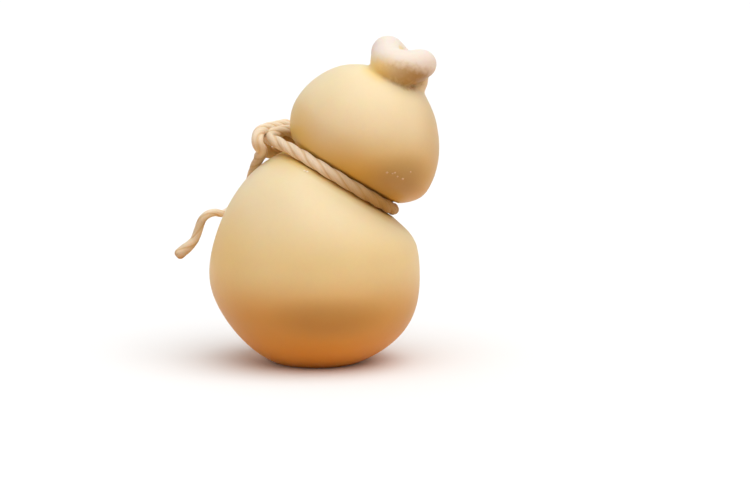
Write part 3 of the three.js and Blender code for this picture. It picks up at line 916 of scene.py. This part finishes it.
class SCAMORZA_OT_twine(bpy.types.Operator):
    """Lay the twine: its turn and hitch at the neck, its hanging loop and its loose tail"""

    bl_idname = "scamorza.twine"
    bl_label = "Lay the twine"

    # Lengths of the rounding at the spare end and at the tail's end, and how far round it goes, up to 1
    CUT_LENGTH = 0.9 * MM
    WORN_LENGTH = 2.2 * MM
    END_ROUNDING = 0.8

    def execute(self, context):
        form = context.scene.scamorza_twine
        run = TwineRun(context.scene.scamorza_cheese, form)
        fibre = laid_fibre(form)
        neck = [(0, run.loop_from), (run.loop_to, run.tail_from)]
        self.lay(form, run, neck, "twine_at_neck", fibre, "neck_twine")
        loop = self.lay(form, run, [(run.loop_from, run.loop_to)], "twine_loop", fibre, "hanging_loop")
        self.declare(form, run, loop, run.loop_from, run.loop_to, "object")
        tail = self.lay(form, run, [(run.tail_from, run.length)], "twine_end", fibre, "twine_tail")
        self.declare(form, run, tail, run.tail_from, run.length, "bare")
        return {"FINISHED"}

    def lay(self, form, run, stretches, name, fibre, node):
        """Makes a piece of the twine from some stretches of its run."""
        section = TwineSection(form)
        vertices, faces, lay = [], [], []
        stain_and_painted_light = {key: [] for key in run.stain_and_painted_light}
        for start, end in stretches:
            first, last = run.steps(start, end)
            self.add_stretch(form, run, section, (first, last), vertices, faces, lay)
            for key, share in run.stain_and_painted_light.items():
                stain_and_painted_light[key].extend(np.repeat(share[first : last + 1], section.SIDES))
                stain_and_painted_light[key].extend(share[[first, last]])
        mesh = bpy.data.meshes.new(name)
        mesh.from_pydata(vertices, [], faces)
        uv = mesh.uv_layers.new(name="lay")
        uv.data.foreach_set("uv", np.array(lay, np.float32).ravel())
        for key, shares in stain_and_painted_light.items():
            attribute = mesh.attributes.new(key, "FLOAT", "POINT")
            attribute.data.foreach_set("value", np.array(shares, np.float32))
        mesh.validate()
        piece = bpy.data.objects.new(name, mesh)
        bpy.context.scene.collection.objects.link(piece)
        return finish_piece(piece, name, fibre, "twine", node)

    def add_stretch(self, form, run, section, steps, vertices, faces, lay):
        """Adds the rings of one stretch, the faces between them and a cap at each end."""
        first, last = steps
        sides = section.SIDES
        base = len(vertices)
        for step in range(first, last + 1):
            along = run.run[step]
            out, angles = section.ring(along, run.girth[step], run.relief[step])
            cut = min(along / self.CUT_LENGTH, (run.length - along) / self.WORN_LENGTH)
            out = out * ellipse(1, 1, max(0, self.END_ROUNDING - cut))
            ring = run.normals[step] * (out * np.cos(angles))[:, None]
            ring = ring + run.binormals[step] * (out * np.sin(angles))[:, None]
            vertices.extend((run.centres[step] + ring).tolist())
        across = np.arange(sides + 1) / sides * section.STRANDS + 0.5
        for row in range(last - first):
            here = run.run[first + row] / form.lay_length
            there = run.run[first + row + 1] / form.lay_length
            for side in range(sides):
                after = (side + 1) % sides
                low, high = base + row * sides, base + (row + 1) * sides
                faces.append((low + side, low + after, high + after, high + side))
                lay.extend([(across[side], here), (across[side + 1], here)])
                lay.extend([(across[side + 1], there), (across[side], there)])
        for step, row, turn in ((first, 0, -1), (last, last - first, 1)):
            middle = len(vertices)
            vertices.append(run.centres[step].tolist())
            place = run.run[step] / form.lay_length
            ring = [base + row * sides + side for side in range(sides)]
            for side in range(sides):
                pair = (ring[side], ring[(side + 1) % sides])
                faces.append((*pair[::turn], middle))
                ends = [(across[side], place), (across[side + 1], place)]
                lay.extend([*ends[::turn], (across[side], place)])

    def declare(self, form, run, piece, start, end, far_end):
        """Finds the first and last step of a piece's stretch, and does nothing more with them."""
        first, last = run.steps(start, end)


class SCAMORZA_OT_cheese(bpy.types.Operator):
    """Model the cheese: belly, neck, head, stalk and curl as one piece of curd"""

    bl_idname = "scamorza.cheese"
    bl_label = "Model the cheese"

    # Rings for each even step of the spine past the neck and past the head's widest ring, and how
    # strongly those past the neck crowd towards it
    NECK_RINGS = 2
    HEAD_RINGS = 1.4
    NECK_CROWDING = 1.5

    def execute(self, context):
        form = context.scene.scamorza_cheese
        body = self.draw_body(form)
        self.press_seat(form, context.scene.scamorza_twine.turn_radius, body)
        curl = self.roll_curl(form)
        make_active(body, [curl])
        bpy.ops.object.join()
        apply_modifier(body, "REMESH", mode="VOXEL", voxel_size=form.grain_size)
        apply_modifier(body, "SMOOTH", factor=0.5, iterations=form.smoothing)
        finish_piece(body, "aged_cheese", waxy_rind(form), "cheese", "cheese")
        return {"FINISHED"}

    def stations(self, form):
        """Places along the spine, closest together at the foot, at the neck and at the stalk's end."""
        foot = math.asin(form.belly_level / form.belly_below)
        below = max(2, round(form.belly_below * foot / form.ring_step))
        angles = [foot * (1 - i / below) for i in range(below)]
        places = [form.belly_level - form.belly_below * math.sin(angle) for angle in angles]
        rise = form.neck_level - form.belly_level
        count = round(rise / form.ring_step)
        places += [form.belly_level + rise * i / count for i in range(count)]
        count = round(form.head_rise / form.ring_step * self.NECK_RINGS)
        crowded = [(i / count) ** self.NECK_CROWDING for i in range(count)]
        places += [form.neck_level + form.head_rise * share for share in crowded]
        rise = top_at(form) - head_at(form)
        count = round(rise / form.ring_step * self.HEAD_RINGS)
        places += [head_at(form) + rise * math.sin(math.pi / 2 * i / count) for i in range(count)]
        return places

    def draw_body(self, form):
        """A disc at the foot, drawn up ring by ring along the spine."""
        places = self.stations(form)
        clear_selection()
        size = cheese_radius(form, places[0])
        bpy.ops.mesh.primitive_circle_add(vertices=form.sides, radius=size, fill_type="NGON")
        body = bpy.context.object
        bpy.ops.object.mode_set(mode="EDIT")
        middle, tilt = Vector(), 0.0
        for along in places[1:]:
            placed = spine_frame(form, along)
            radius = cheese_radius(form, along)
            next_tilt = math.atan2(placed[0][2], placed[0][0])
            step = placed.translation - middle
            middle = placed.translation.copy()
            bpy.ops.mesh.extrude_region_move(TRANSFORM_OT_translate={"value": step})
            bpy.ops.transform.rotate(value=tilt - next_tilt, orient_axis="Y", center_override=middle)
            bpy.ops.transform.resize(value=[radius / size] * 3, center_override=middle)
            size, tilt = radius, next_tilt
        bpy.ops.mesh.select_all(action="SELECT")
        bpy.ops.mesh.normals_make_consistent(inside=False)
        bpy.ops.object.mode_set(mode="OBJECT")
        return body

    def press_seat(self, form, turn_radius, body):
        """Cuts the round channel of the twine's turn into the neck."""
        placed = neck_frame(form) @ Matrix.Translation((0, 0, form.seat_rise))
        clear_selection()
        bpy.ops.mesh.primitive_torus_add(
            major_radius=turn_radius,
            minor_radius=form.seat_radius,
            major_segments=form.sides,
            minor_segments=32,
            location=placed.translation,
            rotation=placed.to_euler(),
        )
        seat = bpy.context.object
        apply_modifier(body, "BOOLEAN", operation="DIFFERENCE", object=seat, solver="EXACT")
        make_active(seat)
        bpy.ops.object.delete()

    def roll_curl(self, form):
        """A roll of curd along the curl's route, with round ends."""
        placed = Matrix.Translation((form.curl_right, 0, form.curl_up))
        placed = placed @ Matrix.Rotation(form.curl_turn, 4, "Z")
        places = [placed @ (Vector(point[:3]) * MM) for point in CURL_ROUTE]
        radii = [point[3] * MM for point in CURL_ROUTE]
        clear_selection()
        bpy.ops.curve.primitive_bezier_curve_add()
        curl = bpy.context.object
        bpy.ops.object.mode_set(mode="EDIT")
        bpy.ops.curve.select_all(action="DESELECT")
        spare = curl.data.splines[0].bezier_points[0]
        spare.select_control_point = spare.select_left_handle = spare.select_right_handle = True
        bpy.ops.curve.delete(type="VERT")
        bpy.ops.curve.select_all(action="SELECT")
        bpy.ops.transform.translate(value=places[0] - curl.data.splines[0].bezier_points[0].co)
        bpy.ops.curve.radius_set(radius=radii[0])
        for before, place, radius in zip(places, places[1:], radii[1:]):
            bpy.ops.curve.extrude_move(TRANSFORM_OT_translate={"value": place - before})
            bpy.ops.curve.radius_set(radius=radius)
        bpy.ops.curve.select_all(action="SELECT")
        bpy.ops.curve.handle_type_set(type="AUTOMATIC")
        bpy.ops.object.mode_set(mode="OBJECT")
        curl.data.bevel_depth = 1.0
        curl.data.bevel_resolution = 8
        curl.data.resolution_u = 12
        curl.data.use_fill_caps = True
        bpy.ops.object.convert(target="MESH")
        curl = bpy.context.object
        ends = []
        for place, radius in ((places[0], radii[0]), (places[-1], radii[-1])):
            bpy.ops.mesh.primitive_uv_sphere_add(segments=32, ring_count=16, radius=radius, location=place)
            ends.append(bpy.context.object)
        make_active(curl, ends)
        bpy.ops.object.join()
        return curl


class SCAMORZA_OT_specks(bpy.types.Operator):
    """Set the specks of salt on the cheese"""

    bl_idname = "scamorza.specks"
    bl_label = "Set the specks of salt"

    # Length, width and height of a speck, in its radius
    SHAPE = (1.0, 0.8, 0.35)

    def execute(self, context):
        cheese = bpy.data.objects.get("aged_cheese")
        if cheese is None:
            raise RuntimeError("model the cheese before its specks")
        specks = []
        for across, down, radius in SPECK_PIXELS:
            start, direction = camera_ray(across, down)
            hit, place, normal, _ = cheese.ray_cast(start, direction)
            if not hit:
                raise RuntimeError(f"no cheese at pixel {across}, {down}")
            clear_selection()
            turned = normal.to_track_quat("Z", "Y").to_euler()
            bpy.ops.mesh.primitive_ico_sphere_add(
                subdivisions=2, radius=radius * MM, location=place, rotation=turned
            )
            speck = context.object
            speck.scale = self.SHAPE
            bpy.ops.object.transform_apply(location=True, rotation=True, scale=True)
            specks.append(speck)
        make_active(specks[0], specks[1:])
        bpy.ops.object.join()
        finish_piece(specks[0], "salt_specks", dry_salt(), "cheese")
        return {"FINISHED"}


class SCAMORZA_PT_panel(bpy.types.Panel):
    """The steps of the scamorza, in order"""

    bl_idname = "SCAMORZA_PT_panel"
    bl_label = "Scamorza"
    bl_space_type = "VIEW_3D"
    bl_region_type = "UI"
    bl_category = "Scamorza"

    def draw(self, context):
        for step in STEPS:
            self.layout.operator(step.bl_idname)


STEPS = (SCAMORZA_OT_stage, SCAMORZA_OT_twine, SCAMORZA_OT_cheese, SCAMORZA_OT_specks)
SETTINGS = {"cheese": CheeseSettings, "twine": TwineSettings, "stage": StageSettings}
CLASSES = (*SETTINGS.values(), *STEPS, SCAMORZA_PT_panel)


def register():
    for item in CLASSES:
        bpy.utils.register_class(item)
    for name, group in SETTINGS.items():
        setattr(bpy.types.Scene, f"scamorza_{name}", PointerProperty(type=group))


def unregister():
    for name in SETTINGS:
        delattr(bpy.types.Scene, f"scamorza_{name}")
    for item in reversed(CLASSES):
        bpy.utils.unregister_class(item)


def main():
    register()
    bpy.ops.scamorza.stage()
    bpy.ops.scamorza.twine()
    bpy.ops.scamorza.cheese()
    bpy.ops.scamorza.specks()


if __name__ == "__main__":
    main()
